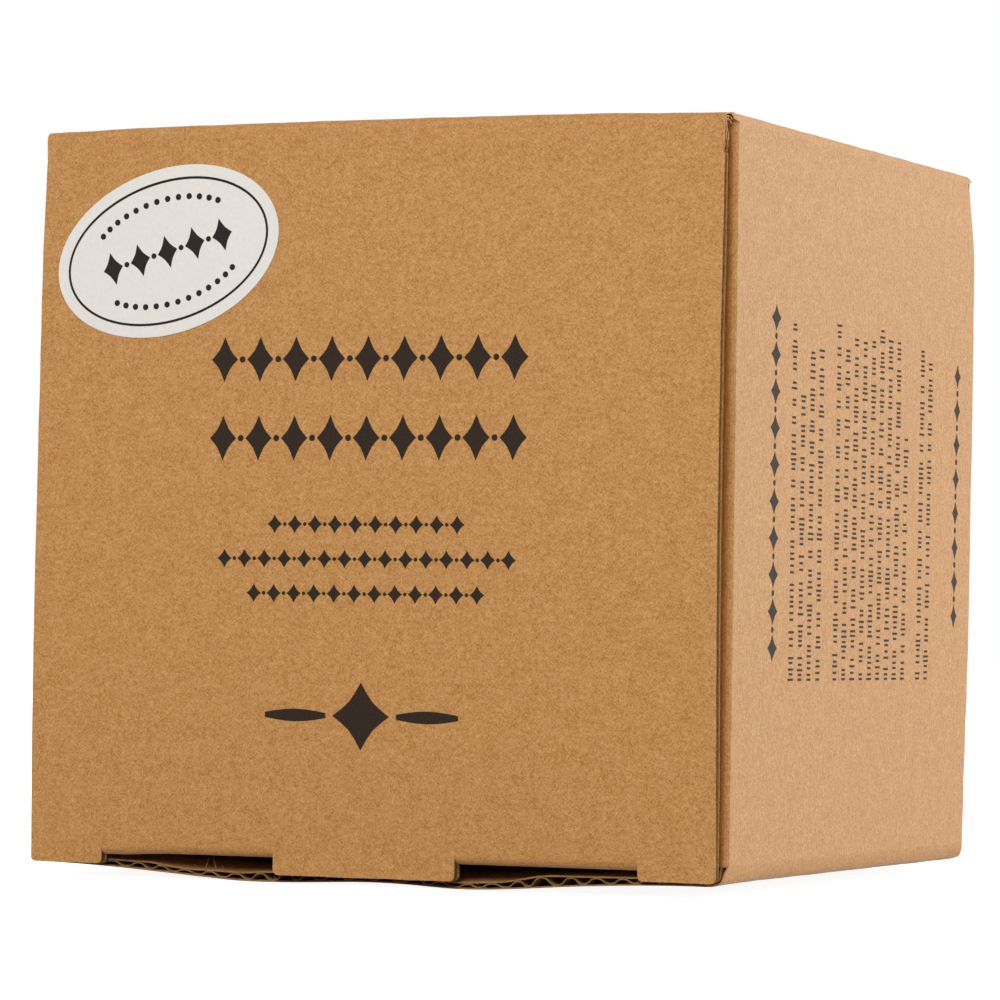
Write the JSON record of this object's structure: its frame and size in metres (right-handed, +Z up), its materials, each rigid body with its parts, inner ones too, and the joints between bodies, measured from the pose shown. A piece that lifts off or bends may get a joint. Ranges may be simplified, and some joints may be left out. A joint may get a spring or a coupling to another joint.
{
  "type": "corrugated tuck carton",
  "caption": "Closed cube-shaped carton of brown kraft corrugated board, with a hinged tuck lid that has lips along its lower edge, dust flaps behind it and a plain oval paper label.",
  "frame": {"origin": "middle of the base, on the surface that the carton stands on", "axes": "+Z up, -Y towards the lid with the oval label, +X to the right as the lid is seen"},
  "size_m": [0.09, 0.0881, 0.09],
  "materials": {
    "kraft_liner": "matte",
    "fluting_medium": "matte",
    "kraft_crease": "matte",
    "label_paper": "matte"
  },
  "bodies": {
    "tube": {"top_panel_outer_liner": "kraft_liner", "top_panel_fluting": "fluting_medium", "top_panel_inner_liner": "kraft_liner", "right_panel_outer_liner": "kraft_liner", "right_panel_fluting": "fluting_medium", "right_panel_inner_liner": "kraft_liner", "bottom_panel_outer_liner": "kraft_liner", "bottom_panel_fluting": "fluting_medium", "bottom_panel_inner_liner": "kraft_liner", "left_panel_outer_liner": "kraft_liner", "left_panel_fluting": "fluting_medium", "left_panel_inner_liner": "kraft_liner", "glue_flap_outer_liner": "kraft_liner", "glue_flap_fluting": "fluting_medium", "glue_flap_inner_liner": "kraft_liner", "top_right_crease": "kraft_crease", "bottom_right_crease": "kraft_crease", "bottom_left_crease": "kraft_crease", "glue_flap_crease": "kraft_crease", "lid_crease": "kraft_crease", "left_dust_crease": "kraft_crease", "right_dust_crease": "kraft_crease", "rear_lid_crease": "kraft_crease", "rear_left_dust_crease": "kraft_crease", "rear_right_dust_crease": "kraft_crease"},
    "lid": {"lid_outer_liner": "kraft_liner", "lid_fluting": "fluting_medium", "lid_inner_liner": "kraft_liner", "tuck_crease": "kraft_crease", "oval_label": "label_paper"},
    "tuck_flap": {"tuck_flap_outer_liner": "kraft_liner", "tuck_flap_fluting": "fluting_medium", "tuck_flap_inner_liner": "kraft_liner"},
    "left_dust_flap": {"left_dust_flap_outer_liner": "kraft_liner", "left_dust_flap_fluting": "fluting_medium", "left_dust_flap_inner_liner": "kraft_liner"},
    "right_dust_flap": {"right_dust_flap_outer_liner": "kraft_liner", "right_dust_flap_fluting": "fluting_medium", "right_dust_flap_inner_liner": "kraft_liner"},
    "rear_lid": {"rear_lid_outer_liner": "kraft_liner", "rear_lid_fluting": "fluting_medium", "rear_lid_inner_liner": "kraft_liner", "rear_tuck_crease": "kraft_crease"},
    "rear_tuck_flap": {"rear_tuck_flap_outer_liner": "kraft_liner", "rear_tuck_flap_fluting": "fluting_medium", "rear_tuck_flap_inner_liner": "kraft_liner"},
    "rear_left_dust_flap": {"rear_left_dust_flap_outer_liner": "kraft_liner", "rear_left_dust_flap_fluting": "fluting_medium", "rear_left_dust_flap_inner_liner": "kraft_liner"},
    "rear_right_dust_flap": {"rear_right_dust_flap_outer_liner": "kraft_liner", "rear_right_dust_flap_fluting": "fluting_medium", "rear_right_dust_flap_inner_liner": "kraft_liner"}
  },
  "joints": [
    {"name": "lid_hinge", "type": "hinge", "parent": "tube", "child": "lid", "pos_m": [0, -0.0425, 0.0885], "axis": [-1, 0, 0], "range_deg": [0, 170], "deforming": ["lid_crease"]},
    {"name": "tuck_hinge", "type": "hinge", "parent": "lid", "child": "tuck_flap", "pos_m": [0, -0.0425, 0.00465], "axis": [1, 0, 0], "range_deg": [0, 76.5], "deforming": ["tuck_crease"]},
    {"name": "left_dust_hinge", "type": "hinge", "parent": "tube", "child": "left_dust_flap", "pos_m": [-0.0435, -0.0407, 0.045], "axis": [0, 0, -1], "range_deg": [0, 85], "deforming": ["left_dust_crease"]},
    {"name": "right_dust_hinge", "type": "hinge", "parent": "tube", "child": "right_dust_flap", "pos_m": [0.0435, -0.0407, 0.045], "axis": [0, 0, 1], "range_deg": [0, 85], "deforming": ["right_dust_crease"]},
    {"name": "rear_lid_hinge", "type": "hinge", "parent": "tube", "child": "rear_lid", "pos_m": [0, 0.0425, 0.0885], "axis": [1, 0, 0], "range_deg": [0, 170], "deforming": ["rear_lid_crease"]},
    {"name": "rear_tuck_hinge", "type": "hinge", "parent": "rear_lid", "child": "rear_tuck_flap", "pos_m": [0, 0.0425, 0.00465], "axis": [-1, 0, 0], "range_deg": [0, 76.5], "deforming": ["rear_tuck_crease"]},
    {"name": "rear_left_dust_hinge", "type": "hinge", "parent": "tube", "child": "rear_left_dust_flap", "pos_m": [-0.0435, 0.0407, 0.045], "axis": [0, 0, 1], "range_deg": [0, 85], "deforming": ["rear_left_dust_crease"]},
    {"name": "rear_right_dust_hinge", "type": "hinge", "parent": "tube", "child": "rear_right_dust_flap", "pos_m": [0.0435, 0.0407, 0.045], "axis": [0, 0, -1], "range_deg": [0, 85], "deforming": ["rear_right_dust_crease"]}
  ],
  "couplings": [
    {"joint": "tuck_hinge", "follows": "lid_hinge", "ratio": 0.45},
    {"joint": "left_dust_hinge", "follows": "lid_hinge", "ratio": 0.5},
    {"joint": "right_dust_hinge", "follows": "lid_hinge", "ratio": 0.5},
    {"joint": "rear_tuck_hinge", "follows": "rear_lid_hinge", "ratio": 0.45},
    {"joint": "rear_left_dust_hinge", "follows": "rear_lid_hinge", "ratio": 0.5},
    {"joint": "rear_right_dust_hinge", "follows": "rear_lid_hinge", "ratio": 0.5}
  ]
}
